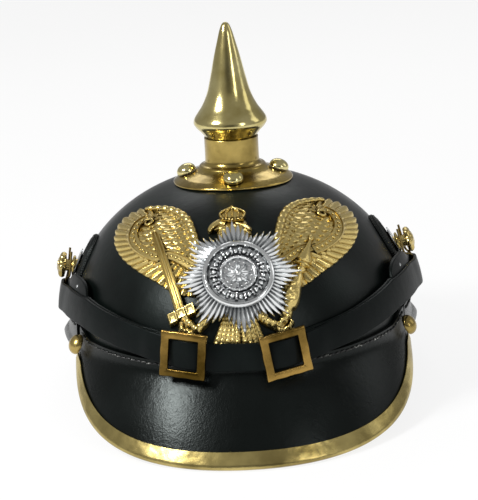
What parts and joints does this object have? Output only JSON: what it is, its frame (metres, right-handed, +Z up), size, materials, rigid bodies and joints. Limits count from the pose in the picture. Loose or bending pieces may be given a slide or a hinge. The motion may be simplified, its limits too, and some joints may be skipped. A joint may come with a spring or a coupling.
{
  "type": "spiked helmet",
  "caption": "Leather spiked helmet with a brass spike, a stamped eagle front plate under a silver star, sewn peaks, side cockades and a buckled chin strap laid over the front.",
  "frame": {"origin": "middle of the bounding box, on the surface the helmet rests on", "axes": "+Z up along the spike, -Y towards the front of the helmet, +X towards the wearer's left hand"},
  "size_m": [0.218, 0.2948, 0.2157],
  "materials": {
    "lacquered_leather": "black, lacquered and polished, with a fine pitted grain",
    "strap_leather": "black, semi-gloss, worn at the edges",
    "cockade_leather": "black, pressed into pleats, dull",
    "polished_brass": "polished",
    "stamped_brass": "stamped, gilt, darker in the hollows",
    "tarnished_brass": "tarnished",
    "silver_plate": "silvered, bright on the rays and grey in the grooves"
  },
  "bodies": {
    "root": {"skull": "lacquered_leather", "front_visor": "lacquered_leather", "neck_guard": "lacquered_leather", "front_visor_trim": "polished_brass", "spike_base": "polished_brass", "spike": "polished_brass", "base_stud_front": "polished_brass", "base_stud_left": "polished_brass", "base_stud_back": "polished_brass", "base_stud_right": "polished_brass", "eagle_plate": "stamped_brass", "star": "silver_plate", "strap_middle": "strap_leather", "strap_left": "strap_leather", "strap_right": "strap_leather", "buckle_left": "tarnished_brass", "buckle_right": "tarnished_brass", "cockade_left": "cockade_leather", "cockade_right": "cockade_leather", "post_left": "polished_brass", "post_right": "polished_brass", "strap_pin_left": "tarnished_brass", "strap_pin_right": "tarnished_brass", "visor_rivet_left": "polished_brass", "visor_rivet_right": "polished_brass"}
  },
  "joints": []
}
